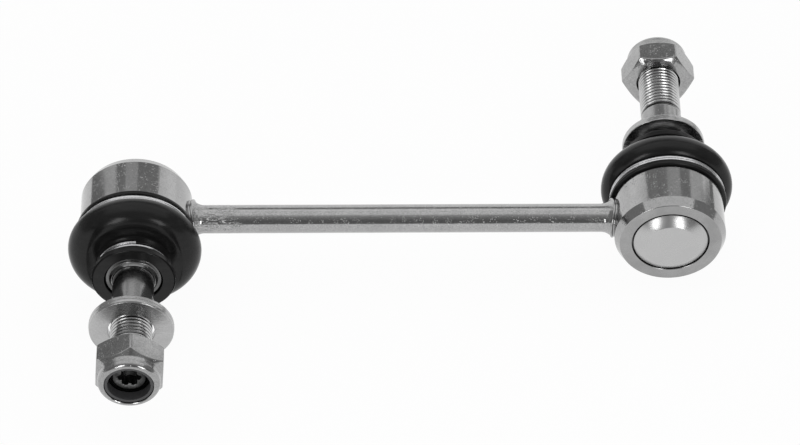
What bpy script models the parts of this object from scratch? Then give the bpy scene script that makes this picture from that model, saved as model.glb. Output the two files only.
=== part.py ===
# Stabilizer link: a rod with a ball joint at each end, each with a dust boot, a washer and a lock nut.
# Metres, +Z up. X runs along the rod, the left stud points to -Y and the right stud to +Y.
# A ball joint is modelled about its own Z axis, which runs from the ball's centre out along the stud.
import math

import bmesh
import bpy

# Running gap that pieces keep where they touch or are held
GAP = 0.0003

# Rod
CENTRE_DISTANCE = 0.1553
ROD_DIAMETER = 0.0083
ROD_FLARE_RADIUS = 0.0075
ROD_FLARE_LENGTH = 0.0026

# Housing: a turned cup with a neck for the boot, closed at its back by a rolled rim
HOUSING_DIAMETER = 0.0324
HOUSING_WALL = 0.0023
HOUSING_SHOULDER = 0.0049
BACK_CHAMFER_WIDTH = 0.0014
BACK_CHAMFER_LENGTH = 0.0027
NECK_STEP = 0.0020
NECK_LENGTH = 0.0046
NECK_BEVEL = 0.0005
RIM_THICKNESS = 0.0008
RIM_OVERLAP = 0.0014
CAP_SEAT_WIDTH = 0.0007

# End cap: a pressed disc with a raised centre
CAP_THICKNESS = 0.0010
CAP_DOME_HEIGHT = 0.0030
CAP_DOME_ROUNDING = 0.0026
CAP_SLOPE_WIDTH = 0.0034

# Ball stud
SHANK_DIAMETER = 0.0120
SHANK_LENGTH = 0.0177
THREAD_LENGTH = 0.0210
THREAD_STEP = 0.0004
TIP_CHAMFER = 0.0009
BALL_FLAT_DIAMETER = 0.0080
STUD_NECK_STEP = 0.0010
COLLAR_WIDTH = 0.00215
COLLAR_LENGTH = 0.0061
COLLAR_ROUNDING = 0.0010
COLLAR_CONE_LENGTH = 0.0034
SOCKET_ACROSS_LOBES = 0.0067
SOCKET_ACROSS_VALLEYS = 0.0049
SOCKET_DEPTH = 0.0045

# Plastic seat around the ball
SEAT_WALL = 0.0028
SEAT_MOUTH_ANGLE = math.radians(62)
SEAT_BACK_ANGLE = math.radians(138)

# How far the stud may lean from its axis before it meets the housing's mouth
LEAN_CLEARANCE = math.radians(27)

# Dust boot, from its foot on the housing's neck up to its lip around the stud's collar
BOOT_WALL = 0.0018
BOOT_FOOT_WALL = 0.0027
BOOT_FOOT_WIDTH = 0.0015
BOOT_BAND_WALL = 0.0014
BOOT_BULGE_SPREAD = 0.0021
BOOT_BULGE_RISE = 0.0034
BOOT_SHOULDER_WIDTH = 0.00295
BOOT_WEB_WIDTH = 0.0016
BOOT_WEB_HEIGHT = 0.00095
BOOT_GROOVE_WALL = 0.00085
BOOT_LIP_WIDTH = 0.00365
BOOT_LIP_THICKNESS = 0.0021
BOOT_LIP_PROUD = 0.0005
BOOT_EDGE_ROUNDING = 0.0003

# Rings that clamp the boot: a flat band below, two turns of wire above
BAND_WIDTH = 0.0016
BAND_THICKNESS = 0.0008
WIRE_DIAMETER = 0.0011
WIRE_TURNS = 2
WIRE_TURN_GAP = 0.0001

# Washer, loose on the stud
WASHER_CLEARANCE = 0.0007
WASHER_WIDTH = 0.0055
WASHER_THICKNESS = 0.0025
WASHER_BEVEL = 0.0004
LEFT_WASHER_FROM_COLLAR = 0.0182
RIGHT_WASHER_FROM_COLLAR = 0.0045

# Lock nut and its plastic insert: walls and steps between the thread and the flats
NUT_FLAT_WALL = 0.0017
NUT_HEX_HEIGHT = 0.0086
NUT_COLLAR_HEIGHT = 0.0030
NUT_COLLAR_STEP = 0.0006
NUT_COLLAR_ROUNDING = 0.0016
NUT_BEARING_STEP = 0.0007
NUT_CHAMFER_SLOPE = math.radians(30)
NUT_RIM_OVERLAP = 0.00085
NUT_RIM_THICKNESS = 0.0006
NUT_ENTRY_WIDTH = 0.0006
NUT_ENTRY_LENGTH = 0.0008
INSERT_WIDTH = 0.0016
INSERT_THICKNESS = 0.0027
LEFT_NUT_ON_THREAD = 0.00825
RIGHT_NUT_ON_THREAD = 0.00555
LEFT_NUT_ANGLE = math.radians(-3.7)
RIGHT_NUT_ANGLE = math.radians(27)

# Facets around each turned piece, and merge distance of its seam
COARSE_STEPS = 24
FINE_STEPS = 36
MERGE = 0.00001


def clear_scene():
    """Remove what is in the scene."""
    for existing in list(bpy.data.objects):
        bpy.data.objects.remove(existing, do_unlink=True)


def new_collection(name):
    collection = bpy.data.collections.new(name)
    bpy.context.scene.collection.children.link(collection)
    return collection


def make_material(name, colour, roughness, metallic):
    material = bpy.data.materials.new(name)
    material.use_nodes = True
    shader = material.node_tree.nodes["Principled BSDF"]
    shader.inputs["Base Color"].default_value = (*colour, 1.0)
    shader.inputs["Roughness"].default_value = roughness
    shader.inputs["Metallic"].default_value = metallic
    return material


def arc(radius_at, height_at, radius, start, end, count):
    """Points (r, z) along an arc about (radius_at, height_at); angles are counted from +r towards +z."""
    points = []
    for i in range(count + 1):
        angle = start + (end - start) * i / count
        points.append((radius_at + radius * math.cos(angle), height_at + radius * math.sin(angle)))
    return points


def turned(name, profile, steps, collection, closed=True):
    """A profile of (r, z) points, outer side from top to bottom, turned about Z."""
    mesh = bpy.data.meshes.new(name)
    shape = bmesh.new()
    corners = [shape.verts.new((r, 0.0, z)) for r, z in profile]
    for first, second in zip(corners, corners[1:]):
        shape.edges.new((first, second))
    if closed:
        shape.edges.new((corners[-1], corners[0]))
    shape.to_mesh(mesh)
    shape.free()
    piece = bpy.data.objects.new(name, mesh)
    collection.objects.link(piece)
    screw = piece.modifiers.new("turn", "SCREW")
    screw.axis = "Z"
    screw.steps = steps
    screw.render_steps = steps
    screw.use_merge_vertices = True
    screw.merge_threshold = MERGE
    screw.use_smooth_shade = True
    return piece


def as_cutter(piece):
    piece.hide_render = True
    piece.display_type = "WIRE"
    return piece


def combine(piece, other, operation):
    """Cut or intersect a piece with a cutter."""
    boolean = piece.modifiers.new(operation.lower(), "BOOLEAN")
    boolean.operation = operation
    boolean.solver = "EXACT"
    boolean.object = other


def place(piece, parent, material, along=0.0, angle=0.0):
    """Put a piece on its joint's axis, at a distance from the ball's centre."""
    piece.parent = parent
    piece.location = (0.0, 0.0, along)
    piece.rotation_euler = (0.0, 0.0, angle)
    piece.data.materials.append(material)
    return piece


# Housing, seat and ball, from the outside in
housing_radius = HOUSING_DIAMETER / 2
neck_radius = housing_radius - NECK_STEP
neck_end = HOUSING_SHOULDER + NECK_LENGTH
bore_radius = neck_radius - HOUSING_WALL
seat_radius = bore_radius - GAP
ball_radius = seat_radius - SEAT_WALL - GAP
ball_flat_radius = BALL_FLAT_DIAMETER / 2
ball_back = math.sqrt(ball_radius**2 - ball_flat_radius**2)
seat_top = (ball_radius + GAP) * math.cos(SEAT_MOUTH_ANGLE)

# End cap and rolled rim, stacked behind the ball; these heights are counted away from the stud
cap_step = ball_back + GAP
cap_floor = cap_step + GAP
cap_top = cap_floor + CAP_THICKNESS
cap_face = cap_top + CAP_DOME_HEIGHT
housing_back = cap_top + GAP + RIM_THICKNESS
cap_radius = bore_radius + CAP_SEAT_WIDTH
rim_opening = cap_radius - RIM_OVERLAP

# Stud, washer and nut, from the inside out
shank_radius = SHANK_DIAMETER / 2
thread_radius = shank_radius - THREAD_STEP
stud_neck_radius = shank_radius - STUD_NECK_STEP
collar_radius = shank_radius + COLLAR_WIDTH
washer_hole = shank_radius + WASHER_CLEARANCE
nut_bore = thread_radius + GAP
insert_radius = nut_bore + INSERT_WIDTH
nut_pocket = insert_radius + GAP
nut_flat = nut_pocket + NUT_FLAT_WALL
nut_height = NUT_HEX_HEIGHT + NUT_COLLAR_HEIGHT

# Boot and its rings, outwards from the neck and the collar
foot_bore = neck_radius + GAP
foot_radius = foot_bore + BOOT_FOOT_WALL
bulge_radius = foot_radius + BOOT_BULGE_SPREAD
band_groove = foot_bore + BOOT_BAND_WALL
band_bore = band_groove + GAP
lip_bore = collar_radius + GAP
lip_radius = lip_bore + BOOT_LIP_WIDTH
wire_groove = lip_bore + BOOT_GROOVE_WALL
wire_radius = WIRE_DIAMETER / 2
web_radius = wire_groove + BOOT_WEB_WIDTH
shoulder_rounding = bulge_radius - web_radius - BOOT_SHOULDER_WIDTH

# Heights above the ball's centre, from the boot's foot up to the stud's tip
boot_foot = HOUSING_SHOULDER + GAP
band_place = boot_foot + BOOT_FOOT_WIDTH + GAP
bulge_start = band_place + BAND_WIDTH + GAP
bulge_height = bulge_start + BOOT_BULGE_RISE
shoulder_height = bulge_height + shoulder_rounding
wire_groove_start = shoulder_height + BOOT_WEB_HEIGHT
wire_stack = (WIRE_DIAMETER + WIRE_TURN_GAP) * WIRE_TURNS + WIRE_DIAMETER - WIRE_TURN_GAP
lip_back = wire_groove_start + wire_stack + 2 * GAP
lip_front = lip_back + BOOT_LIP_THICKNESS
collar_face = lip_front - BOOT_LIP_PROUD
collar_start = collar_face - COLLAR_LENGTH
shank_end = collar_face + SHANK_LENGTH
stud_tip = shank_end + THREAD_LENGTH


def mouth_radius(height):
    """Radius that the leaning stud neck needs at a height above the ball's centre."""
    return height * math.tan(LEAN_CLEARANCE) + stud_neck_radius / math.cos(LEAN_CLEARANCE)


def make_housing(name, parts):
    mouth_low = seat_top + GAP
    profile = [
        (neck_radius - NECK_BEVEL, neck_end),
        (neck_radius, neck_end - NECK_BEVEL),
        (neck_radius, HOUSING_SHOULDER),
        (housing_radius, HOUSING_SHOULDER),
        (housing_radius, BACK_CHAMFER_LENGTH - housing_back),
        (housing_radius - BACK_CHAMFER_WIDTH, -housing_back),
        (rim_opening, -housing_back),
        (rim_opening, RIM_THICKNESS - housing_back),
        (cap_radius, RIM_THICKNESS - housing_back),
        (cap_radius, -cap_step),
        (bore_radius, -cap_step),
        (bore_radius, mouth_low),
        (mouth_radius(mouth_low), mouth_low),
        (mouth_radius(neck_end), neck_end),
    ]
    return turned(name, profile, FINE_STEPS, parts)


def make_end_cap(name, parts):
    """The flange lies under the rolled rim, and the raised centre stands through the rim's opening."""
    dome_radius = rim_opening - GAP
    bend = CAP_DOME_ROUNDING
    inner_radius = dome_radius - CAP_THICKNESS
    flat_radius = dome_radius - CAP_SLOPE_WIDTH
    profile = [(0.0, CAP_THICKNESS - cap_face)]
    profile += [(flat_radius - CAP_THICKNESS, CAP_THICKNESS - cap_face)]
    profile += [(inner_radius, bend - cap_face)]
    profile += [(inner_radius, -cap_floor)]
    profile += [(cap_radius - GAP, -cap_floor)]
    profile += [(cap_radius - GAP, -cap_top)]
    profile += [(dome_radius, -cap_top)]
    profile += [(dome_radius, bend - cap_face)]
    profile += [((dome_radius + flat_radius) / 2, bend / 4 - cap_face)]
    profile += [(flat_radius, -cap_face)]
    profile += [(0.0, -cap_face)]
    return turned(name, profile, COARSE_STEPS, parts, closed=False)


def make_bearing_seat(name, parts):
    """A spherical shell that grips the ball past its widest point on both sides."""
    inside = ball_radius + GAP
    profile = [(inside * math.sin(SEAT_MOUTH_ANGLE), seat_top)]
    profile += [(seat_radius, seat_top), (seat_radius, -cap_step)]
    back_radius = inside * math.sin(SEAT_BACK_ANGLE)
    profile += [(back_radius, -cap_step)]
    cup = arc(0, 0, inside, math.pi / 2 - SEAT_BACK_ANGLE, math.pi / 2 - SEAT_MOUTH_ANGLE, 6)
    return turned(name, profile + cup[:-1], COARSE_STEPS, parts)


def make_ball_stud(name, parts, cutters):
    """Ball, neck, collar for the boot and bracket, plain shank and thread, with a six-lobe socket."""
    neck_angle = math.acos(stud_neck_radius / ball_radius)
    flat_angle = -math.acos(ball_flat_radius / ball_radius)
    profile = [(0.0, stud_tip), (thread_radius - TIP_CHAMFER, stud_tip)]
    profile += [(thread_radius, stud_tip - TIP_CHAMFER)]
    profile += [(thread_radius, shank_end + THREAD_STEP), (shank_radius, shank_end)]
    profile += [(shank_radius, collar_face)]
    rounding = COLLAR_ROUNDING
    profile += arc(
        collar_radius - rounding, collar_face - rounding, rounding, math.pi / 2, 0.0, 3
    )
    profile += [(collar_radius, collar_start)]
    profile += [(stud_neck_radius, collar_start - COLLAR_CONE_LENGTH)]
    profile += arc(0, 0, ball_radius, neck_angle, flat_angle, 9)
    profile += [(0.0, -ball_back)]
    stud = turned(name, profile, COARSE_STEPS, parts, closed=False)

    mesh = bpy.data.meshes.new(name + "_socket")
    shape = bmesh.new()
    mean = (SOCKET_ACROSS_LOBES + SOCKET_ACROSS_VALLEYS) / 4
    wave = (SOCKET_ACROSS_LOBES - SOCKET_ACROSS_VALLEYS) / 4
    bmesh.ops.create_cone(
        shape, cap_ends=True, segments=36, radius1=mean, radius2=mean, depth=2 * SOCKET_DEPTH
    )
    for corner in shape.verts:
        angle = math.atan2(corner.co.y, corner.co.x)
        scale = 1 + wave / mean * math.cos(6 * angle)
        corner.co.x *= scale
        corner.co.y *= scale
    shape.to_mesh(mesh)
    shape.free()
    socket = as_cutter(bpy.data.objects.new(name + "_socket", mesh))
    cutters.objects.link(socket)
    socket.parent = stud
    socket.location = (0.0, 0.0, stud_tip)
    combine(stud, socket, "DIFFERENCE")
    return stud


def make_dust_boot(name, parts):
    """A rubber shell: foot on the housing's neck, bulge, groove for the wire, lip around the collar."""
    edge = BOOT_EDGE_ROUNDING
    # The lower arc runs from the band's groove to the widest point, which the upper arc shares
    rise = BOOT_BULGE_RISE
    spread = BOOT_BULGE_SPREAD
    lower = (rise * rise + spread * spread) / (2 * spread)
    lower_angle = -math.asin(rise / lower)
    upper = shoulder_rounding
    profile = [(lip_bore, lip_front), (lip_radius - edge, lip_front)]
    profile += [(lip_radius, lip_front - edge), (lip_radius, lip_back)]
    profile += [(wire_groove, lip_back), (wire_groove, wire_groove_start)]
    profile += [(web_radius, shoulder_height)]
    profile += arc(bulge_radius - upper, bulge_height, upper, math.pi / 2, 0.0, 5)
    low = arc(bulge_radius - lower, bulge_height, lower, 0.0, lower_angle, 3)
    profile += low[1:]
    profile += [(band_groove, bulge_start), (band_groove, band_place - GAP)]
    profile += [(foot_radius, band_place - GAP)]
    profile += [(foot_radius, boot_foot + edge), (foot_radius - edge, boot_foot)]
    profile += [(foot_bore, boot_foot), (foot_bore, neck_end + GAP)]
    inner_lower = lower - BOOT_WALL
    inner_start = math.acos((foot_bore - bulge_radius + lower) / inner_lower)
    inner = arc(bulge_radius - lower, bulge_height, inner_lower, -inner_start, 0.0, 2)
    profile += [corner for corner in inner if corner[1] > neck_end + 2 * GAP]
    upper_in = upper - BOOT_WALL
    profile += arc(bulge_radius - upper, bulge_height, upper_in, 0.0, math.pi / 2, 3)[1:]
    profile += [(lip_bore + BOOT_WALL, shoulder_height - BOOT_WALL), (lip_bore, shoulder_height)]
    return turned(name, profile, FINE_STEPS, parts)


def make_band(name, parts):
    outer = band_bore + BAND_THICKNESS
    low = band_place
    high = band_place + BAND_WIDTH
    profile = [(outer, high), (outer, low), (band_bore, low), (band_bore, high)]
    return turned(name, profile, FINE_STEPS, parts)


def make_wire_ring(name, parts):
    """Two turns of round wire, wound around the boot's upper groove."""
    per_turn = 20
    count = per_turn * WIRE_TURNS
    radius = wire_groove + GAP + wire_radius
    rise = WIRE_DIAMETER + WIRE_TURN_GAP
    low = wire_groove_start + GAP + wire_radius
    curve = bpy.data.curves.new(name, "CURVE")
    curve.dimensions = "3D"
    curve.bevel_depth = wire_radius
    curve.bevel_resolution = 2
    curve.resolution_u = 1
    curve.render_resolution_u = 0
    curve.use_fill_caps = True
    spline = curve.splines.new("POLY")
    spline.points.add(count)
    for i, point in enumerate(spline.points):
        angle = math.pi / 2 + 2 * math.pi * i / per_turn
        height = low + rise * i / per_turn
        point.co = (radius * math.cos(angle), radius * math.sin(angle), height, 1.0)
    ring = bpy.data.objects.new(name, curve)
    parts.objects.link(ring)
    return ring


def make_washer(name, parts):
    hole = washer_hole
    outer = hole + WASHER_WIDTH
    profile = [
        (outer - WASHER_BEVEL, WASHER_THICKNESS),
        (outer, WASHER_THICKNESS - WASHER_BEVEL),
        (outer, WASHER_BEVEL),
        (outer - WASHER_BEVEL, 0.0),
        (hole, 0.0),
        (hole, WASHER_THICKNESS),
    ]
    return turned(name, profile, COARSE_STEPS, parts)


def make_lock_nut(name, parts, cutters):
    """A turned blank with chamfers, bore, insert pocket and rolled rim, cut to a hexagon."""
    corner = nut_flat / math.cos(math.pi / 6)
    blank = corner + GAP
    slope = math.tan(NUT_CHAMFER_SLOPE)
    bearing = nut_flat - NUT_BEARING_STEP
    collar = nut_flat - NUT_COLLAR_STEP
    pocket_top = nut_height - NUT_RIM_THICKNESS
    pocket_floor = pocket_top - INSERT_THICKNESS - 2 * GAP
    opening = nut_pocket - NUT_RIM_OVERLAP
    rounding = NUT_COLLAR_ROUNDING
    profile = arc(collar - rounding, nut_height - rounding, rounding, math.pi / 2, 0.0, 3)
    profile += [(collar, NUT_HEX_HEIGHT)]
    profile += [(blank, NUT_HEX_HEIGHT - (blank - collar) * slope)]
    profile += [(blank, (blank - bearing) * slope), (bearing, 0.0)]
    profile += [(nut_bore + NUT_ENTRY_WIDTH, 0.0), (nut_bore, NUT_ENTRY_LENGTH)]
    profile += [(nut_bore, pocket_floor), (nut_pocket, pocket_floor)]
    profile += [(nut_pocket, pocket_top), (opening, pocket_top), (opening, nut_height)]
    nut = turned(name, profile, COARSE_STEPS, parts)

    mesh = bpy.data.meshes.new(name + "_hexagon")
    shape = bmesh.new()
    bmesh.ops.create_cone(
        shape,
        cap_ends=True,
        segments=6,
        radius1=corner,
        radius2=corner,
        depth=3 * nut_height,
    )
    shape.to_mesh(mesh)
    shape.free()
    hexagon = as_cutter(bpy.data.objects.new(name + "_hexagon", mesh))
    cutters.objects.link(hexagon)
    hexagon.parent = nut
    combine(nut, hexagon, "INTERSECT")
    return nut


def make_nut_insert(name, parts):
    """The plastic locking ring under the nut's rolled rim."""
    top = nut_height - NUT_RIM_THICKNESS - GAP
    profile = [(insert_radius, top), (insert_radius, top - INSERT_THICKNESS)]
    profile += [(nut_bore, top - INSERT_THICKNESS), (nut_bore, top)]
    return turned(name, profile, COARSE_STEPS, parts)


def make_link_rod(name, parts, cutters):
    """A round bar whose ends swell on an arc to the welds, each cut to its housing's curve."""
    end = CENTRE_DISTANCE / 2 - housing_radius - GAP
    radius = ROD_DIAMETER / 2
    smooth = 6
    reach = ROD_FLARE_LENGTH + radius / 3
    half = [(0.0, end + reach - ROD_FLARE_LENGTH)]
    for i in range(smooth, -1, -1):
        along = reach * i / smooth
        swell = ROD_FLARE_RADIUS - math.sqrt(ROD_FLARE_RADIUS**2 - along**2)
        half.append((radius + swell, end - ROD_FLARE_LENGTH + along))
    other_half = [(r, -z) for r, z in reversed(half)]
    rod = turned(name, half + other_half, COARSE_STEPS, parts, closed=False)
    rod.rotation_euler = (0.0, math.pi / 2, 0.0)
    for side, sign in (("left", -1), ("right", 1)):
        mesh = bpy.data.meshes.new(side + "_saddle")
        shape = bmesh.new()
        bmesh.ops.create_cone(
            shape,
            cap_ends=True,
            segments=2 * FINE_STEPS,
            radius1=housing_radius + GAP,
            radius2=housing_radius + GAP,
            depth=HOUSING_DIAMETER,
        )
        shape.to_mesh(mesh)
        shape.free()
        saddle = as_cutter(bpy.data.objects.new(side + "_saddle", mesh))
        cutters.objects.link(saddle)
        saddle.location = (sign * CENTRE_DISTANCE / 2, 0.0, 0.0)
        saddle.rotation_euler = (math.pi / 2, 0.0, 0.0)
        combine(rod, saddle, "DIFFERENCE")
    return rod


def make_ball_joint(side, parts, cutters, materials):
    """One end of the link, about an empty at the ball's centre whose Z runs along the stud."""
    left = side == "left"
    centre = bpy.data.objects.new(side + "_ball_centre", None)
    parts.objects.link(centre)
    centre.location = ((-1 if left else 1) * CENTRE_DISTANCE / 2, 0.0, 0.0)
    centre.rotation_euler = (math.pi / 2, 0.0, 0.0 if left else math.pi)
    washer_place = collar_face + (LEFT_WASHER_FROM_COLLAR if left else RIGHT_WASHER_FROM_COLLAR)
    nut_place = stud_tip - (LEFT_NUT_ON_THREAD if left else RIGHT_NUT_ON_THREAD)
    nut_angle = LEFT_NUT_ANGLE if left else RIGHT_NUT_ANGLE
    zinc = materials["zinc"]
    place(make_housing(side + "_housing", parts), centre, zinc)
    place(make_end_cap(side + "_end_cap", parts), centre, zinc)
    place(make_bearing_seat(side + "_bearing_seat", parts), centre, materials["seat"])
    stud = place(make_ball_stud(side + "_ball_stud", parts, cutters), centre, zinc)
    place(make_dust_boot(side + "_dust_boot", parts), centre, materials["rubber"])
    place(make_band(side + "_boot_band", parts), centre, materials["ring"])
    place(make_wire_ring(side + "_boot_wire_ring", parts), centre, materials["ring"])
    washer = make_washer(side + "_washer", parts)
    place(washer, stud, zinc, along=washer_place)
    nut = make_lock_nut(side + "_lock_nut", parts, cutters)
    place(nut, stud, zinc, along=nut_place, angle=nut_angle)
    place(make_nut_insert(side + "_nut_insert", parts), nut, materials["nylon"])


def main():
    clear_scene()
    parts = new_collection("stabilizer_link")
    cutters = new_collection("cutters")
    materials = {
        "zinc": make_material("zinc_plated_steel", (0.42, 0.42, 0.43), 0.30, 1.0),
        "ring": make_material("clamp_ring_steel", (0.45, 0.45, 0.46), 0.25, 1.0),
        "rubber": make_material("boot_rubber", (0.02, 0.02, 0.021), 0.45, 0.0),
        "seat": make_material("seat_plastic", (0.75, 0.73, 0.68), 0.40, 0.0),
        "nylon": make_material("insert_nylon", (0.04, 0.04, 0.042), 0.50, 0.0),
    }
    rod = make_link_rod("link_rod", parts, cutters)
    rod.data.materials.append(materials["zinc"])
    for side in ("left", "right"):
        make_ball_joint(side, parts, cutters, materials)


main()
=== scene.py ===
import math

import bmesh
import bpy
from mathutils import Matrix, Vector


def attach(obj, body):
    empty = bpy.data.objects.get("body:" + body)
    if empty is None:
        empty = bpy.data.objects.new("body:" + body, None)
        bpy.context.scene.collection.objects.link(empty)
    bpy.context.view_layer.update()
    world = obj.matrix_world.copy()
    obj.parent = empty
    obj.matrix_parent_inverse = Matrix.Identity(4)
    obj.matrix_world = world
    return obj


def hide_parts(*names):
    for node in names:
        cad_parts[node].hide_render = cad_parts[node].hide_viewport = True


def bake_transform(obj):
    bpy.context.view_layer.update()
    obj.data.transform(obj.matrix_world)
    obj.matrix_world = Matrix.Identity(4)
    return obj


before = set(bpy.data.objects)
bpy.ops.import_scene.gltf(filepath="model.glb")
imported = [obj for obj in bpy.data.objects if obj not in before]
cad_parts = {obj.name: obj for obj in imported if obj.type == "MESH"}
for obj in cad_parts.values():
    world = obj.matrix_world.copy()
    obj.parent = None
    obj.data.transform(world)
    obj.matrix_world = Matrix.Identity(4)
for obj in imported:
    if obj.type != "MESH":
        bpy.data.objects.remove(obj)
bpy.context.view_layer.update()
print("frame loaded")

mm = 0.001

# where each ball joint sits; its own z axis runs from the ball's centre out along the stud
joints = {
    "left": {"x": -77.65, "turn": 0.0, "washerAt": 42.5, "nutAt": 54.75, "nutAngle": -3.7},
    "right": {"x": 77.65, "turn": 180.0, "washerAt": 28.8, "nutAt": 57.45, "nutAngle": 27.0},
}


def jointPlace(side, along=0.0, angle=0.0):
    joint = joints[side]
    place = Matrix.Translation((joint["x"] * mm, 0, 0))
    place @= Matrix.Rotation(math.radians(joint["turn"]), 4, "Z") @ Matrix.Rotation(math.pi / 2, 4, "X")
    return place @ Matrix.Translation((0, 0, along * mm)) @ Matrix.Rotation(math.radians(angle), 4, "Z")


# shared ways of making meshes

def softened(corners, closed=True):
    # corners are (r, s) or (r, s, rounding) in mm; a rounding turns the corner into an arc
    points = []
    count = len(corners)
    for i, corner in enumerate(corners):
        here = Vector(corner[:2])
        rounding = corner[2] if len(corner) > 2 else 0.0
        if rounding <= 0 or (not closed and i in (0, count - 1)):
            points.append((here.x, here.y))
            continue
        back = Vector(corners[i - 1][:2]) - here
        on = Vector(corners[(i + 1) % count][:2]) - here
        bend = math.pi - back.angle(on)
        if bend < 0.02:
            points.append((here.x, here.y))
            continue
        reach = min(rounding * math.tan(bend / 2), 0.48 * back.length, 0.48 * on.length)
        radius = reach / math.tan(bend / 2)
        start = here + back.normalized() * reach
        middle = here + (back.normalized() + on.normalized()).normalized() * math.hypot(radius, reach)
        pieces = max(2, math.ceil(math.degrees(bend) / 15))
        first = start - middle
        turnWay = 1 if first.x * on.y - first.y * on.x > 0 else -1
        for k in range(pieces + 1):
            a = turnWay * bend * k / pieces
            points.append((middle.x + first.x * math.cos(a) - first.y * math.sin(a),
                           middle.y + first.x * math.sin(a) + first.y * math.cos(a)))
    return points


def bow(r, s, radius, start, end, count):
    # points on an arc about (r, s), angles in degrees from +r towards +s
    out = []
    for i in range(count + 1):
        a = math.radians(start + (end - start) * i / count)
        out.append((r + radius * math.cos(a), s + radius * math.sin(a)))
    return out


def sweptAround(name, columns, closed=True, crease=32):
    # one column of (r, s) points for every step around the z axis, sizes in mm
    points, faces, grid = [], [], []
    steps, rows = len(columns), len(columns[0])
    poles = {}
    for i, column in enumerate(columns):
        a = 2 * math.pi * i / steps
        line = []
        for j, (r, s) in enumerate(column):
            if abs(r) < 1e-6:
                if j not in poles:
                    poles[j] = len(points)
                    points.append((0, 0, s * mm))
                line.append(poles[j])
            else:
                line.append(len(points))
                points.append((r * math.cos(a) * mm, r * math.sin(a) * mm, s * mm))
        grid.append(line)
    for i in range(steps):
        here, there = grid[i], grid[(i + 1) % steps]
        for j in range(rows if closed else rows - 1):
            k = (j + 1) % rows
            ring = []
            for v in (here[j], there[j], there[k], here[k]):
                if v not in ring:
                    ring.append(v)
            if len(ring) > 2:
                faces.append(ring)
    return solidMesh(name, points, faces, crease)


def solidMesh(name, points, faces, crease=32):
    mesh = bpy.data.meshes.new(name)
    mesh.from_pydata(points, [], faces)
    shape = bmesh.new()
    shape.from_mesh(mesh)
    bmesh.ops.remove_doubles(shape, verts=shape.verts, dist=1e-7)
    bmesh.ops.recalc_face_normals(shape, faces=shape.faces)
    if shape.calc_volume(signed=True) < 0:
        bmesh.ops.reverse_faces(shape, faces=shape.faces)
    shape.to_mesh(mesh)
    shape.free()
    mesh.shade_smooth()
    mesh.set_sharp_from_angle(angle=math.radians(crease))
    return evenShading(mesh)


def evenShading(mesh):
    # broad faces keep their own normals beside narrow roundings, so that they mirror straight lines
    carrier = bpy.data.objects.new(mesh.name + "Carrier", mesh)
    bpy.context.scene.collection.objects.link(carrier)
    weighing = carrier.modifiers.new("evenShading", "WEIGHTED_NORMAL")
    weighing.keep_sharp = True
    bpy.context.view_layer.update()
    even = bpy.data.meshes.new_from_object(carrier.evaluated_get(bpy.context.evaluated_depsgraph_get()))
    even.name = mesh.name
    bpy.data.objects.remove(carrier)
    return even


def turnedMesh(name, corners, steps=128, closed=True, crease=32):
    return sweptAround(name, [softened(corners, closed)] * steps, closed, crease)


def showPiece(name, mesh, material, body, node=None, place=None, also=()):
    # also: (material, test) pairs; the test gets a face's radius and height in mm
    piece = bpy.data.objects.new(name, mesh)
    bpy.context.scene.collection.objects.link(piece)
    mesh.materials.clear()
    mesh.materials.append(material)
    for other, test in also:
        mesh.materials.append(other)
        for face in mesh.polygons:
            middle = face.center
            if test(math.hypot(middle.x, middle.y) / mm, middle.z / mm):
                face.material_index = len(mesh.materials) - 1
    if place is not None:
        mesh.transform(place)
    if body:
        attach(piece, body)
    if node:
        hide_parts(node)
    return piece


# node helpers

def newTree(name, inputs):
    tree = bpy.data.node_groups.new(name, "GeometryNodeTree")
    for label, kind, value in inputs:
        socket = tree.interface.new_socket(label, in_out="INPUT", socket_type=kind)
        if value is not None:
            socket.default_value = value
    tree.interface.new_socket("Geometry", in_out="OUTPUT", socket_type="NodeSocketGeometry")
    return tree, tree.nodes.new("NodeGroupInput"), tree.nodes.new("NodeGroupOutput")


def addNode(tree, kind, inputs=None, **settings):
    made = tree.nodes.new(kind)
    for key, value in settings.items():
        setattr(made, key, value)
    for key, value in (inputs or {}).items():
        socket = made.inputs[key]
        if isinstance(value, bpy.types.NodeSocket):
            tree.links.new(value, socket)
        else:
            socket.default_value = value
    return made


def maths(tree, operation, *values, **settings):
    return addNode(tree, "ShaderNodeMath", dict(enumerate(values)), operation=operation, **settings).outputs[0]


def closeTree(tree, source, result, shape):
    real = addNode(tree, "GeometryNodeRealizeInstances", {"Geometry": shape})
    painted = addNode(tree, "GeometryNodeSetMaterial", {"Geometry": real.outputs[0],
                                                        "Material": source.outputs["Material"]})
    tree.links.new(painted.outputs[0], result.inputs[0])
    return tree


def plainMesh(name, tree, values):
    # runs a geometry node tree on an empty mesh and keeps the result as a plain mesh
    carrier = bpy.data.objects.new(name + "Carrier", bpy.data.meshes.new(name + "Carrier"))
    bpy.context.scene.collection.objects.link(carrier)
    modifier = carrier.modifiers.new(name, "NODES")
    modifier.node_group = tree
    for item in tree.interface.items_tree:
        if item.in_out == "INPUT" and item.name in values:
            modifier[item.identifier] = values[item.name]
    bpy.context.view_layer.update()
    shown = carrier.evaluated_get(bpy.context.evaluated_depsgraph_get())
    mesh = bpy.data.meshes.new_from_object(shown)
    mesh.name = name
    carrier.modifiers.remove(modifier)
    bpy.data.objects.remove(carrier)
    shape = bmesh.new()
    shape.from_mesh(mesh)
    bmesh.ops.remove_doubles(shape, verts=shape.verts, dist=1e-7)
    bmesh.ops.recalc_face_normals(shape, faces=shape.faces)
    shape.to_mesh(mesh)
    shape.free()
    return mesh


# finishes

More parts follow.
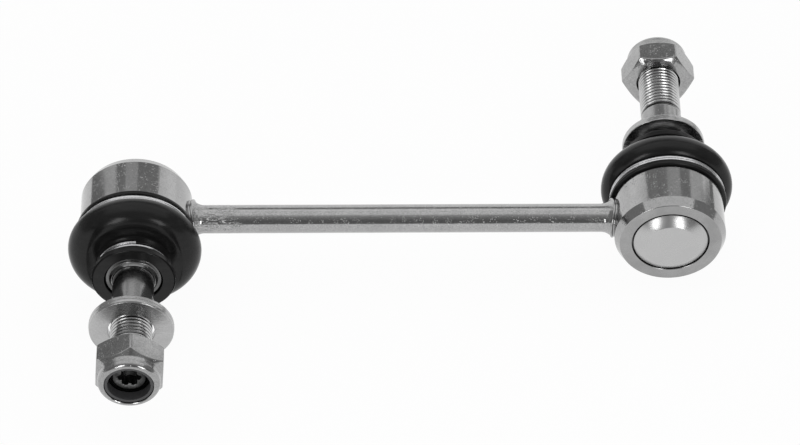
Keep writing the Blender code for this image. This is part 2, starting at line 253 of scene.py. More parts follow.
def newMaterial(name, **sockets):
    material = bpy.data.materials.new(name)
    material.use_nodes = True
    shader = material.node_tree.nodes["Principled BSDF"]
    for key, value in sockets.items():
        label = {"colour": "Base Color", "roughness": "Roughness", "metallic": "Metallic",
                 "specular": "Specular IOR Level"}[key]
        shader.inputs[label].default_value = (*value, 1) if key == "colour" else value
    return material, material.node_tree, shader


def mapRange(tree, value, low, high, toLow, toHigh):
    return addNode(tree, "ShaderNodeMapRange", {"Value": value, "From Min": low, "From Max": high,
                                                "To Min": toLow, "To Max": toHigh}).outputs["Result"]


def noise(tree, vector, scale, detail, **more):
    return addNode(tree, "ShaderNodeTexNoise", {"Vector": vector, "Scale": scale, "Detail": detail,
                                                **more}).outputs["Fac"]


def bumped(tree, height, strength, distance, under=None, invert=False):
    made = addNode(tree, "ShaderNodeBump", {"Height": height, "Strength": strength, "Distance": distance},
                   invert=invert)
    if under:
        tree.links.new(under.outputs["Normal"], made.inputs["Normal"])
    return made


def blended(tree, share, first, second):
    return addNode(tree, "ShaderNodeMix", {"Factor": share, "A": (*first, 1), "B": (*second, 1)},
                   data_type="RGBA").outputs["Result"]


def steelLook(bright, dull, roughLow, roughHigh, peelDepth=0.000006, pitDepth=0.00003, peelScale=1700.0,
              pitScale=1900.0, speckle=0.04):
    return {"bright": bright, "dull": dull, "roughLow": roughLow, "roughHigh": roughHigh, "peelDepth": peelDepth,
            "pitDepth": pitDepth, "peelScale": peelScale, "pitScale": pitScale, "scratchDepth": 0.00003,
            "speckle": speckle}


zincLook = steelLook(0.39, 0.365, 0.09, 0.14, pitDepth=0.00006, speckle=0.06)
rodLook = steelLook(0.40, 0.375, 0.09, 0.14, pitDepth=0.00008, pitScale=2600.0, speckle=0.12)
faceLook = steelLook(0.36, 0.31, 0.24, 0.32, pitDepth=0.00004)
capLook = steelLook(0.49, 0.48, 0.25, 0.30, peelDepth=0.000003, pitDepth=0.000004, speckle=0.01)
nutLook = steelLook(0.38, 0.34, 0.13, 0.20, peelDepth=0.00001, pitDepth=0.00006, speckle=0.12)
threadLook = steelLook(0.62, 0.56, 0.18, 0.25, peelDepth=0.00001)
shankLook = steelLook(0.36, 0.33, 0.17, 0.24, peelDepth=0.000012)
collarLook = steelLook(0.18, 0.12, 0.20, 0.30, peelDepth=0.000015)
washerLook = steelLook(0.46, 0.42, 0.20, 0.27, peelDepth=0.000004, pitDepth=0.00002)
# a dark steel laid where shade falls: painted shade
paintedShadeLook = steelLook(0.13, 0.04, 0.30, 0.42, peelDepth=0.00003, speckle=0.3)


def zincFinish(name, look, centre=None, ringDepth=0.0, scuff=0.0, hatchAt=None, rootShadeAndGreaseFrom=None):
    material, tree, shader = newMaterial(name, metallic=1.0)
    place = addNode(tree, "ShaderNodeTexCoord").outputs["Object"]
    cloud = noise(tree, place, 160.0, 3.0)
    peel = noise(tree, place, look["peelScale"], 2.5, Roughness=0.55)
    pits = addNode(tree, "ShaderNodeTexVoronoi", {"Vector": place, "Scale": look["pitScale"]}).outputs["Distance"]
    pitMask = mapRange(tree, pits, 0.05, 0.30, 1.0, 0.0)
    sparseMask = mapRange(tree, noise(tree, place, 500.0, 1.0), 0.48, 0.60, 0.0, 1.0)
    pitting = maths(tree, "MULTIPLY", pitMask, sparseMask)
    tone = mapRange(tree, cloud, 0.35, 0.65, 0.0, 1.0)
    colour = blended(tree, tone, [look["dull"]] * 3, [look["bright"]] * 3)
    # every speck of the plating is a little lighter or darker than the next
    specks = addNode(tree, "ShaderNodeTexVoronoi", {"Vector": place, "Scale": look["pitScale"] * 1.6})
    shade = mapRange(tree, addNode(tree, "ShaderNodeSeparateColor", {0: specks.outputs["Color"]}).outputs[0],
                     0.0, 1.0, 1 - look["speckle"], 1 + look["speckle"])
    colour = addNode(tree, "ShaderNodeVectorMath", {0: colour, "Scale": shade}, operation="SCALE")
    if centre is not None:      # distance from the joint's axis
        flat = addNode(tree, "ShaderNodeMapping", {"Vector": place, "Location": (-centre, 0, 0),
                                                   "Scale": (1, 0, 1)}).outputs["Vector"]
        away = addNode(tree, "ShaderNodeVectorMath", {0: flat}, operation="LENGTH").outputs["Value"]
    if rootShadeAndGreaseFrom:      # painted shade and grease: darker towards the thread's root, between two distances from the axis
        rootShadeShare = mapRange(tree, away, rootShadeAndGreaseFrom[0] * mm, rootShadeAndGreaseFrom[1] * mm, 0.12, 1.0)
        colour = addNode(tree, "ShaderNodeVectorMath", {0: colour.outputs[0], "Scale": rootShadeShare}, operation="SCALE")
    tree.links.new(colour.outputs[0], shader.inputs["Base Color"])
    rough = mapRange(tree, cloud, 0.35, 0.65, look["roughHigh"], look["roughLow"])
    tree.links.new(rough, shader.inputs["Roughness"])
    bump = bumped(tree, peel, 1.0, look["peelDepth"])
    bump = bumped(tree, pitting, 0.7, look["pitDepth"], bump, invert=True)
    if hatchAt is not None:      # crossed gripper marks beside the left weld
        east = addNode(tree, "ShaderNodeSeparateXYZ", {0: place}).outputs["X"]
        near = mapRange(tree, east, hatchAt, hatchAt - 0.006, 0.0, 1.0)
        for turn in (0.7, -0.6):
            slanted = addNode(tree, "ShaderNodeMapping", {"Vector": place, "Rotation": (0.2, turn, turn),
                                                          "Scale": (420, 1500, 2600)})
            mark = noise(tree, slanted.outputs["Vector"], 1.0, 1.0)
            cut = maths(tree, "MULTIPLY", mapRange(tree, mark, 0.55, 0.68, 0.0, 1.0), near)
            bump = bumped(tree, cut, 0.8, 0.00009, bump, invert=True)
    if ringDepth:      # tool marks: fine rings about the joint's axis
        rings = addNode(tree, "ShaderNodeTexNoise", {"W": away, "Scale": 5200.0, "Detail": 2.0},
                        noise_dimensions="1D").outputs["Fac"]
        bump = bumped(tree, rings, 1.0, ringDepth, bump)
    if scuff:      # short straight scratches
        streak = addNode(tree, "ShaderNodeMapping", {"Vector": place, "Rotation": (0.5, 0.3, 0.9),
                                                     "Scale": (260, 3200, 3200)})
        few = mapRange(tree, noise(tree, streak.outputs["Vector"], 1.0, 1.0), 0.60, 0.70, 0.0, 1.0)
        bump = bumped(tree, few, scuff, look["scratchDepth"], bump)
    tree.links.new(bump.outputs["Normal"], shader.inputs["Normal"])
    return material


def ringFinish():
    material, tree, shader = newMaterial("springSteel", colour=(0.66, 0.66, 0.67), roughness=0.2, metallic=1.0)
    place = addNode(tree, "ShaderNodeTexCoord").outputs["Object"]
    drawn = noise(tree, place, 2200.0, 2.0)
    tree.links.new(mapRange(tree, drawn, 0.3, 0.7, 0.16, 0.30), shader.inputs["Roughness"])
    tree.links.new(bumped(tree, drawn, 0.6, 0.000012).outputs["Normal"], shader.inputs["Normal"])
    return material


rubberLook = {
    "colour": (0.010, 0.010, 0.010),
    "worn": (0.014, 0.014, 0.014),
    "roughLow": 0.17,
    "roughHigh": 0.27,
    "dust": (0.42, 0.42, 0.42),
}


def rubberFinish(look):
    material, tree, shader = newMaterial("bootRubber", specular=0.22)
    place = addNode(tree, "ShaderNodeTexCoord").outputs["Object"]
    cloud = noise(tree, place, 210.0, 4.0)
    fine = noise(tree, place, 2600.0, 2.0)
    streak = addNode(tree, "ShaderNodeMapping", {"Vector": place, "Rotation": (0.2, 0.75, 0.1),
                                                 "Scale": (90, 700, 700)})
    wipes = noise(tree, streak.outputs["Vector"], 1.0, 3.0)
    specks = addNode(tree, "ShaderNodeTexVoronoi", {"Vector": place, "Scale": 420.0}).outputs["Distance"]
    speckMask = mapRange(tree, specks, 0.035, 0.055, 1.0, 0.0)
    some = noise(tree, place, 300.0, 0.0)
    few = maths(tree, "MULTIPLY", speckMask, mapRange(tree, some, 0.60, 0.62, 0.0, 1.0))
    body = blended(tree, mapRange(tree, wipes, 0.42, 0.66, 0.0, 1.0), look["colour"], look["worn"])
    dusty = addNode(tree, "ShaderNodeMix", {"Factor": few, "A": body, "B": (*look["dust"], 1)}, data_type="RGBA")
    tree.links.new(dusty.outputs["Result"], shader.inputs["Base Color"])
    tree.links.new(mapRange(tree, cloud, 0.3, 0.7, look["roughLow"], look["roughHigh"]), shader.inputs["Roughness"])
    bump = bumped(tree, cloud, 0.5, 0.00012, bumped(tree, fine, 0.8, 0.000010))
    tree.links.new(bump.outputs["Normal"], shader.inputs["Normal"])
    return material


def plasticFinish(name, colour, paler, roughness):
    material, tree, shader = newMaterial(name, roughness=roughness)
    place = addNode(tree, "ShaderNodeTexCoord").outputs["Object"]
    grain = noise(tree, place, 1800.0, 3.0)
    tree.links.new(blended(tree, grain, colour, paler), shader.inputs["Base Color"])
    tree.links.new(bumped(tree, grain, 0.5, 0.00001).outputs["Normal"], shader.inputs["Normal"])
    return material


zincPlain = zincFinish("zincPlating", zincLook)
zincGripped = zincFinish("zincPlatingGripped", rodLook, scuff=0.12, hatchAt=-0.046)
capSteel = zincFinish("pressedCapSteel", capLook)
nutZinc = zincFinish("nutPlating", nutLook)
# the thread's roots are darker: painted shade, with some grease
threadZinc = {side: zincFinish(side + "ThreadPlating", threadLook, joints[side]["x"] * mm,
                               rootShadeAndGreaseFrom=(5.45, 5.9)) for side in joints}
washerZinc = zincFinish("washerPlating", washerLook, scuff=0.5)
shankZinc = zincFinish("shankPlating", shankLook)
collarSteel = zincFinish("collarSteel", collarLook)
# painted shade: a dark steel for the gaps, bores, thread cores and the stud's tip, where shade falls
paintedShadeSteel = zincFinish("unlitSteel", paintedShadeLook)
turnedFace = {side: zincFinish(side + "TurnedFace", faceLook, joints[side]["x"] * mm, 0.000010)
              for side in joints}
springSteel = ringFinish()
bootRubber = rubberFinish(rubberLook)
seatPlastic = plasticFinish("seatPlastic", (0.72, 0.70, 0.64), (0.78, 0.76, 0.71), 0.42)
insertNylon = plasticFinish("insertNylon", (0.045, 0.045, 0.047), (0.07, 0.07, 0.072), 0.5)
print("finishes made")

# housings, end caps and bearing seats

housingSize = {"radius": 16.2, "back": 10.2, "shoulder": 4.9, "neckRadius": 14.2, "neckEnd": 9.5, "neckBevel": 0.5,
               "chamferWidth": 1.4, "chamferLength": 2.7, "rimOpening": 11.25, "rim": 0.8, "boreRadius": 11.9,
               "capRadius": 12.6, "capStep": 7.8, "mouthLow": 4.43, "mouthLowRadius": 7.87, "mouthTop": 10.45}


def housingProfile(h):
    return [
        (h["neckRadius"] - h["neckBevel"], h["neckEnd"], 0.2),
        (h["neckRadius"], h["neckEnd"] - h["neckBevel"], 0.2),
        (h["neckRadius"], h["shoulder"], 0.15), (h["radius"], h["shoulder"], 0.3),
        (h["radius"], h["chamferLength"] - h["back"], 0.2),
        (h["radius"] - h["chamferWidth"], -h["back"], 0.3),
        (h["rimOpening"], -h["back"], 0.25), (h["rimOpening"], h["rim"] - h["back"], 0.1),
        (h["capRadius"], h["rim"] - h["back"]), (h["capRadius"], -h["capStep"]),
        (h["boreRadius"], -h["capStep"]), (h["boreRadius"], h["mouthLow"]),
        (h["mouthLowRadius"], h["mouthLow"], 0.3), (h["mouthTop"], h["neckEnd"], 0.3),
    ]


capSize = {"flange": 12.3, "top": 9.1, "floor": 8.1, "dome": 10.82, "wall": 1.0, "face": 12.1, "flat": 7.8,
           "slopeFoot": 10.0, "flankTurn": 12}


def arched(start, end, turn, count):
    # points on an arc from start to end that turns by so many degrees and bulges to the left
    a, b = Vector(start), Vector(end)
    half = math.radians(turn) / 2
    chord = b - a
    radius = chord.length / 2 / math.sin(half)
    side = Vector((chord.y, -chord.x)).normalized()
    centre = (a + b) / 2 + side * radius * math.cos(half)
    first = a - centre
    out = []
    for i in range(count + 1):
        t = -2 * half * i / count
        out.append((centre.x + first.x * math.cos(t) - first.y * math.sin(t),
                    centre.y + first.x * math.sin(t) + first.y * math.cos(t)))
    return out


def capProfile(c):
    flank = arched((c["dome"], -c["slopeFoot"]), (c["flat"], -c["face"]), c["flankTurn"], 14)
    flank[0], flank[-1] = (*flank[0], 0.2), (*flank[-1], 0.12)
    inner = [(c["flat"] - 0.7, c["wall"] - c["face"], 0.4), (c["dome"] - c["wall"], -c["slopeFoot"], 0.3),
             (c["dome"] - c["wall"], -c["floor"])]
    outer = [(c["flange"], -c["floor"]), (c["flange"], -c["top"], 0.2), (c["dome"], -c["top"])]
    return [(0, c["wall"] - c["face"])] + inner + outer + flank + [(0, -c["face"])]


seatSize = {"outer": 11.6, "inner": 8.8, "top": 4.13, "back": -7.8, "mouth": 62, "backAngle": 138}


def seatProfile(s):
    mouth, back = (s["inner"] * math.sin(math.radians(s[k])) for k in ("mouth", "backAngle"))
    cup = bow(0, 0, s["inner"], 90 - s["backAngle"], 90 - s["mouth"], 24)
    shell = [(mouth, s["top"]), (s["outer"], s["top"], 0.3), (s["outer"], s["back"], 0.3), (back, s["back"])]
    return shell + cup[:-1]


for side in joints:
    showPiece(side + "Housing", turnedMesh(side + "Housing", housingProfile(housingSize), 192), zincPlain,
              "link", side + "_housing", jointPlace(side),
              [(turnedFace[side], lambda r, s: s < 0.02 - housingSize["back"]),
               # painted shade in the gap between the rolled rim and the end cap
               (paintedShadeSteel, lambda r, s: r < 12.7 and -10.0 < s < -7.0)])
    showPiece(side + "EndCap", turnedMesh(side + "EndCap", capProfile(capSize), 160, closed=False), capSteel,
              "link", side + "_end_cap", jointPlace(side),
              # painted shade on the cap's side wall inside the gap
              [(paintedShadeSteel, lambda r, s: r > 10.78 and s > -10.0)])
    showPiece(side + "BearingSeat", turnedMesh(side + "BearingSeat", seatProfile(seatSize), 96), seatPlastic,
              "link", side + "_bearing_seat", jointPlace(side))
print("housings made")

# rod between the housings, with its swollen ends and the welds

rodSize = {"radius": 4.15, "flareLength": 3.0, "flare": 1.4, "flareBend": 2.6, "housing": 17.2, "centre": 77.65,
           "aroundSteps": 96, "alongSteps": 14}
# the two curls of metal that the weld pushes out: spread, thickness and distance from the housing's wall
weldCurls = {"Curl": (5.45, 0.44, 0.86), "Ridge": (5.25, 0.42, 0.14)}


def rodMesh(r):
    rings = []      # (which end, radius, share of the way into the weld)
    flareStart = r["centre"] - r["housing"] - r["flareLength"]
    for sign, order in ((-1, range(r["alongSteps"], -1, -1)), (1, range(r["alongSteps"] + 1))):
        for i in order:
            t = i / r["alongSteps"]
            rings.append((sign, r["radius"] + r["flare"] * t ** r["flareBend"], t))
    points, faces = [], []
    steps = r["aroundSteps"]
    for sign, radius, t in rings:
        for k in range(steps):
            a = 2 * math.pi * k / steps
            y, z = radius * math.cos(a), radius * math.sin(a)
            weldAt = r["centre"] - math.sqrt(r["housing"] ** 2 - z * z)
            x = flareStart + (weldAt - flareStart) * t
            points.append((sign * x * mm, y * mm, z * mm))
    for i in range(len(rings) - 1):
        for k in range(steps):
            n = (k + 1) % steps
            faces.append((i * steps + k, i * steps + n, (i + 1) * steps + n, (i + 1) * steps + k))
    faces.append(tuple(range(steps)))
    faces.append(tuple(range((len(rings) - 1) * steps, len(rings) * steps)))
    return solidMesh("linkRod", points, faces, 40)


showPiece("linkRod", rodMesh(rodSize), zincGripped, "link", "link_rod")


def beadTree():
    tree, source, result = newTree("weldRidge", [
        ("Loop Steps", "NodeSocketInt", 120), ("Spread", "NodeSocketFloat", 0.00535),
        ("Housing Radius", "NodeSocketFloat", 0.0162), ("Bead Radius", "NodeSocketFloat", 0.0004),
        ("Stand Off", "NodeSocketFloat", 0.0), ("Unevenness", "NodeSocketFloat", 0.00016),
        ("Material", "NodeSocketMaterial", None)])
    loop = addNode(tree, "GeometryNodeCurvePrimitiveCircle", {"Resolution": source.outputs["Loop Steps"],
                                                              "Radius": source.outputs["Spread"]})
    place = addNode(tree, "GeometryNodeInputPosition")
    parts = addNode(tree, "ShaderNodeSeparateXYZ", {0: place.outputs[0]})
    # the flat loop is laid on the housing's round wall: x follows from the height z
    squareR = maths(tree, "MULTIPLY", source.outputs["Housing Radius"], source.outputs["Housing Radius"])
    squareY = maths(tree, "MULTIPLY", parts.outputs["Y"], parts.outputs["Y"])
    depth = maths(tree, "SQRT", maths(tree, "SUBTRACT", squareR, squareY))
    depth = maths(tree, "ADD", depth, source.outputs["Stand Off"])
    laid = addNode(tree, "ShaderNodeCombineXYZ", {"X": depth, "Y": parts.outputs["X"], "Z": parts.outputs["Y"]})
    placed = addNode(tree, "GeometryNodeSetPosition", {"Geometry": loop.outputs["Curve"],
                                                       "Position": laid.outputs[0]})
    section = addNode(tree, "GeometryNodeCurvePrimitiveCircle", {"Resolution": 14,
                                                                "Radius": source.outputs["Bead Radius"]})
    swept = addNode(tree, "GeometryNodeCurveToMesh", {"Curve": placed.outputs[0],
                                                      "Profile Curve": section.outputs["Curve"]})
    wobble = addNode(tree, "ShaderNodeTexNoise", {"Scale": 620.0, "Detail": 2.0})
    centred = addNode(tree, "ShaderNodeVectorMath", {0: wobble.outputs["Color"], 1: (0.5, 0.5, 0.5)},
                      operation="SUBTRACT")
    push = addNode(tree, "ShaderNodeVectorMath", {0: centred.outputs[0], "Scale": source.outputs["Unevenness"]},
                   operation="SCALE")
    uneven = addNode(tree, "GeometryNodeSetPosition", {"Geometry": swept.outputs[0], "Offset": push.outputs[0]})
    smooth = addNode(tree, "GeometryNodeSetShadeSmooth", {"Geometry": uneven.outputs[0]})
    return closeTree(tree, source, result, smooth.outputs[0])


ridge = beadTree()
for side in joints:
    # each loop is made for the left housing, facing +X; the right ones are turned round
    flip = Matrix.Rotation(0 if side == "left" else math.pi, 4, "Z")
    for label, (spread, thick, standOff) in weldCurls.items():
        mesh = plainMesh(side + "Weld" + label, ridge, {
            "Spread": spread * mm, "Bead Radius": thick * mm, "Stand Off": standOff * mm, "Material": zincPlain})
        showPiece(side + "Weld" + label, mesh, zincPlain, "link", None,
                  Matrix.Translation((joints[side]["x"] * mm, 0, 0)) @ flip)
print("rod and welds made")

# dust boots: one moulding each, built in two halves

bootSize = {"wall": 1.8, "foot": 17.2, "footLow": 5.2, "footHigh": 6.7, "footBore": 14.5, "neckTop": 9.8,
            "groove": 15.9, "bulgeStart": 8.9, "bulge": 19.3, "bulgeAt": 12.3, "shoulderRounding": 5.45,
            "shoulderTop": 17.75, "web": 10.9, "wireGroove": 9.3, "grooveStart": 18.7, "lipBack": 22.7,
            "lip": 12.1, "lipFront": 24.8, "lipBore": 8.45}


def bootHalves(b):
    rise, spread = b["bulgeAt"] - b["bulgeStart"], b["bulge"] - b["foot"]
    low = (rise * rise + spread * spread) / (2 * spread)
    lowAngle = -math.degrees(math.asin(rise / low))
    up = b["shoulderRounding"]
    lowInner = low - b["wall"]
    innerStart = -math.degrees(math.acos((b["footBore"] + 0.6 - b["bulge"] + low) / lowInner))
    lower = [(b["footBore"], b["footLow"], 0.15), (b["footBore"], b["neckTop"], 0.3)]
    inside = bow(b["bulge"] - low, b["bulgeAt"], lowInner, innerStart, 0, 14)
    lower += [p for p in inside if p[1] > b["neckTop"] + 0.3]
    lower += bow(b["bulge"] - low, b["bulgeAt"], low, 0, lowAngle, 16)
    lower[-1] = (*lower[-1], 0.25)
    lower += [(b["groove"], b["bulgeStart"], 0.15), (b["groove"], b["footHigh"], 0.15)]
    lower += [(b["foot"], b["footHigh"], 0.45), (b["foot"], b["footLow"], 0.45)]
    upper = [(b["lipBore"], b["lipFront"], 0.25), (b["lip"], b["lipFront"], 0.55), (b["lip"], b["lipBack"], 0.3)]
    upper += [(b["wireGroove"], b["lipBack"], 0.2), (b["wireGroove"], b["grooveStart"], 0.5)]
    upper += [(b["web"], b["shoulderTop"], 1.2)]
    upper += bow(b["bulge"] - up, b["bulgeAt"], up, 90, 0, 26)
    upper += bow(b["bulge"] - up, b["bulgeAt"], up - b["wall"], 0, 90, 16)
    upper += [(b["lipBore"] + b["wall"], b["shoulderTop"] - b["wall"], 0.6), (b["lipBore"], b["shoulderTop"], 0.4)]
    return lower, upper


lowerHalf, upperHalf = bootHalves(bootSize)
for side in joints:
    lower = showPiece(side + "BootLower", turnedMesh(side + "BootLower", lowerHalf, 160, crease=50), bootRubber,
                      None, side + "_dust_boot", jointPlace(side))
    upper = showPiece(side + "BootUpper", turnedMesh(side + "BootUpper", upperHalf, 160, crease=50), bootRubber,
                      None, side + "_dust_boot", jointPlace(side))
    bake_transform(lower)
    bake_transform(upper)
print("boots made")

# the two rings that clamp each boot

bandSize = {"outer": 17.0, "inner": 16.2, "low": 7.0, "high": 8.6, "groove": 0.14, "bulge": 0.1}
wireSize = {"radius": 0.55, "coil": 10.15, "turns": 1.91, "rise": 1.2, "low": 19.55, "stepsPerTurn": 72,
            "startAngle": -5.0}


def bandProfile(b):
    # two flat turns lie side by side, each slightly rounded, with a fine groove between
    middle, quarter = (b["low"] + b["high"]) / 2, (b["high"] - b["low"]) / 4
    points = []
    for at in (middle + quarter, middle - quarter):
        points += [(b["outer"] - b["bulge"], at + quarter - 0.02, 0.05), (b["outer"], at + quarter * 0.4, 0.3),
                   (b["outer"], at - quarter * 0.4, 0.3), (b["outer"] - b["bulge"], at - quarter + 0.02, 0.05)]
        if at > middle:
            points.append((b["outer"] - b["bulge"] - b["groove"], middle))
    return points + [(b["inner"], b["low"], 0.1), (b["inner"], b["high"], 0.1)]


def wireTree():
    tree, source, result = newTree("wireCoil", [
        ("Steps Per Turn", "NodeSocketInt", 72), ("Turns", "NodeSocketFloat", 2.0),
        ("Coil Radius", "NodeSocketFloat", 0.011), ("Height", "NodeSocketFloat", 0.0024),
        ("Wire Radius", "NodeSocketFloat", 0.00055), ("Material", "NodeSocketMaterial", None)])
    coil = addNode(tree, "GeometryNodeCurveSpiral", {
        "Resolution": source.outputs["Steps Per Turn"], "Rotations": source.outputs["Turns"],
        "Start Radius": source.outputs["Coil Radius"], "End Radius": source.outputs["Coil Radius"],
        "Height": source.outputs["Height"], "Reverse": True})
    section = addNode(tree, "GeometryNodeCurvePrimitiveCircle", {"Resolution": 18,
                                                                 "Radius": source.outputs["Wire Radius"]})
    swept = addNode(tree, "GeometryNodeCurveToMesh", {"Curve": coil.outputs[0], "Profile Curve": section.outputs[0],
                                                      "Fill Caps": True})
    return closeTree(tree, source, result, swept.outputs[0])


coil = wireTree()
for side in joints:
    showPiece(side + "BootBand", turnedMesh(side + "BootBand", bandProfile(bandSize), 160), springSteel,
              "link", side + "_boot_band", jointPlace(side))
    mesh = plainMesh(side + "WireRing", coil, {
        "Steps Per Turn": wireSize["stepsPerTurn"], "Turns": float(wireSize["turns"]),
        "Coil Radius": wireSize["coil"] * mm, "Height": wireSize["rise"] * wireSize["turns"] * mm,
        "Wire Radius": wireSize["radius"] * mm, "Material": springSteel})
    mesh.shade_smooth()
    mesh.set_sharp_from_angle(angle=math.radians(40))
    showPiece(side + "WireRing", mesh, springSteel, side + "_boot_top", side + "_boot_wire_ring",
              jointPlace(side, wireSize["low"], 90 + wireSize["startAngle"]))
print("clamp rings made")

# ball studs: ball, neck, collar, shank, thread and the six-lobe socket in the tip

studSize = {"ball": 8.5, "ballFlat": 4.0, "neck": 5.0, "collarStart": 18.2, "collarFace": 24.3, "collar": 8.15,
            "coneLength": 3.4, "shank": 6.0, "shankEnd": 42.0, "threadTop": 6.0, "threadRoot": 5.27, "tip": 63.0,
            "tipChamfer": 0.9, "pitch": 1.25, "lobes": 3.35, "valleys": 2.45, "socketDepth": 3.4, "steps": 144}


def studMesh(name, s):
    mean, wave = (s["lobes"] + s["valleys"]) / 2, (s["lobes"] - s["valleys"]) / 2
    neckAngle = math.degrees(math.acos(s["neck"] / s["ball"]))
    flatAngle = -math.degrees(math.acos(s["ballFlat"] / s["ball"]))
    outside = [(s["threadRoot"] - s["tipChamfer"] + 0.2, s["tip"], 0.15),
               (s["threadRoot"], s["tip"] - s["tipChamfer"] + 0.1, 0.15),
               (s["threadRoot"], s["shankEnd"] + 0.9, 0.3), (s["shank"], s["shankEnd"] - 0.1, 0.5),
               (s["shank"], s["collarFace"], 0.45), (s["collar"] - 1.35, s["collarFace"]),
               (s["collar"] - 1.0, s["collarFace"] - 0.18, 0.15), (s["collar"] - 0.75, s["collarFace"] - 0.06, 0.2),
               (s["collar"], s["collarFace"] - 0.06, 1.2),
               (s["collar"], s["collarStart"], 0.4), (s["neck"], s["collarStart"] - s["coneLength"], 1.5)]
    outside += bow(0, 0, s["ball"], neckAngle, flatAngle, 36) + [(0, s["ball"] * math.sin(math.radians(flatAngle)))]
    outside = softened(outside, closed=False)
    columns = []
    for i in range(s["steps"]):
        wall = mean + wave * math.cos(6 * 2 * math.pi * i / s["steps"])
        columns.append([(0, s["tip"] - s["socketDepth"] - 0.5), (wall * 0.93, s["tip"] - s["socketDepth"]),
                        (wall, s["tip"] - 0.25), (wall + 0.22, s["tip"] - 0.02), (wall + 0.3, s["tip"])] + outside)
    return sweptAround(name, columns, closed=False, crease=35)


def threadTree():
    tree, source, result = newTree("rolledThread", [
        ("Steps Per Turn", "NodeSocketInt", 72), ("Turns", "NodeSocketFloat", 16.0),
        ("Root Radius", "NodeSocketFloat", 0.00527), ("Pitch", "NodeSocketFloat", 0.00125),
        ("Depth", "NodeSocketFloat", 0.00073), ("Taper", "NodeSocketFloat", 0.04),
        ("Material", "NodeSocketMaterial", None)])
    height = maths(tree, "MULTIPLY", source.outputs["Turns"], source.outputs["Pitch"])
    helix = addNode(tree, "GeometryNodeCurveSpiral", {
        "Resolution": source.outputs["Steps Per Turn"], "Rotations": source.outputs["Turns"],
        "Start Radius": source.outputs["Root Radius"], "End Radius": source.outputs["Root Radius"],
        "Height": height, "Reverse": True})
    upright = addNode(tree, "GeometryNodeSetCurveNormal", {"Curve": helix.outputs[0]}, mode="Z_UP")
    base = maths(tree, "MULTIPLY", source.outputs["Pitch"], 0.98)
    crest = maths(tree, "MULTIPLY", source.outputs["Pitch"], 0.20)
    deep = maths(tree, "MULTIPLY", source.outputs["Depth"], 1.15)
    out = addNode(tree, "ShaderNodeCombineXYZ", {"X": maths(tree, "MULTIPLY", source.outputs["Depth"], 0.425)})
    ridge = addNode(tree, "GeometryNodeCurvePrimitiveQuadrilateral", {
        "Height": deep, "Bottom Width": base, "Top Width": crest, "Offset": 0.0}, mode="TRAPEZOID")
    # its narrow side points away from the stud's axis, and its foot is sunk a little into the core
    ridge = addNode(tree, "GeometryNodeTransform", {"Geometry": ridge.outputs[0], "Translation": out.outputs[0],
                                                    "Rotation": (0, 0, -math.pi / 2)})
    # the thread grows out of the core at both ends
    share = addNode(tree, "GeometryNodeSplineParameter").outputs["Factor"]
    nearest = maths(tree, "MINIMUM", share, maths(tree, "SUBTRACT", 1.0, share))
    grow = addNode(tree, "ShaderNodeMapRange", {"Value": nearest, "From Max": source.outputs["Taper"],
                                                "To Min": 0.05}, interpolation_type="SMOOTHSTEP")
    swept = addNode(tree, "GeometryNodeCurveToMesh", {
        "Curve": upright.outputs[0], "Profile Curve": ridge.outputs[0], "Scale": grow.outputs[0],
        "Fill Caps": True})
    return closeTree(tree, source, result, swept.outputs[0])


thread = threadTree()
for side in joints:
    showPiece(side + "BallStud", studMesh(side + "BallStud", studSize), zincPlain, side + "_stud",
              side + "_ball_stud", jointPlace(side),
              [(paintedShadeSteel, lambda r, s: s > studSize["tip"] - 5.2 and (r < 3.7 or s > studSize["tip"] - 0.05)
                or (s > studSize["shankEnd"] + 0.8 and r > 5.2)),      # painted shade on the socket, the tip and the thread's core
               (collarSteel, lambda r, s: r > 6.3 and 18 < s < 24.4),
               (shankZinc, lambda r, s: r < 6.3 and 24.1 < s < 42.8)])
    turns = (studSize["tip"] - 0.8 - studSize["shankEnd"] - 0.3) / studSize["pitch"]
    mesh = plainMesh(side + "StudThread", thread, {
        "Turns": turns, "Root Radius": studSize["threadRoot"] * mm, "Pitch": studSize["pitch"] * mm,
        "Depth": (studSize["threadTop"] - studSize["threadRoot"]) * mm, "Material": threadZinc[side]})
    mesh.shade_smooth()
    mesh.set_sharp_from_angle(angle=math.radians(35))
    showPiece(side + "StudThread", mesh, threadZinc[side], side + "_stud", None,
              jointPlace(side, studSize["shankEnd"] + 0.3))
print("studs made")

# washers, lock nuts and their plastic inserts

washerSize = {"hole": 6.7, "outer": 12.2, "thick": 2.5, "step": 0.09, "stepAt": 1.15, "bevel": 0.45}
nutSize = {"flat": 9.5, "hexHeight": 8.2, "height": 11.6, "collar": 8.9, "collarRounding": 1.6, "bearing": 8.8,
           "slope": 30, "collarSlope": 38, "bore": 6.05, "entry": 6.55, "entryLength": 0.8, "pocket": 7.8,
           "pocketTop": 11.0, "pocketFloor": 7.7, "opening": 7.1, "cornerRounding": 0.5, "steps": 240}
insertSize = {"outer": 7.5, "bore": 6.02, "low": 8.0, "high": 10.7, "lipOuter": 7.05, "lipBore": 6.06,
              "lipLow": 10.6, "lipHigh": 11.25}


def washerProfile(w):
    # a punched disc: sheared rim with a step, its edge towards the nut bevelled
    return [(w["outer"] - w["bevel"], w["thick"], 0.15),
            (w["outer"] - w["step"], w["thick"] - w["bevel"] * 0.8, 0.12),
            (w["outer"] - w["step"], w["stepAt"] + 0.1), (w["outer"], w["stepAt"]), (w["outer"], 0, 0.25),
            (w["hole"], 0, 0.25), (w["hole"], w["thick"], 0.12)]


def hexReach(a, flat, rounding):
    # distance to a hexagon's wall with rounded corners, at an angle from a corner
    k = math.radians(60)
    off = (a + k / 2) % k - k / 2      # 0 at a corner
    straight = flat / math.cos(k / 2 - abs(off))
    corner = (flat - rounding) / math.cos(k / 2)
    inside = corner * math.cos(off) + math.sqrt(max(rounding ** 2 - (corner * math.sin(off)) ** 2, 0))
    return min(straight, inside) if corner * math.sin(abs(off)) < rounding else straight


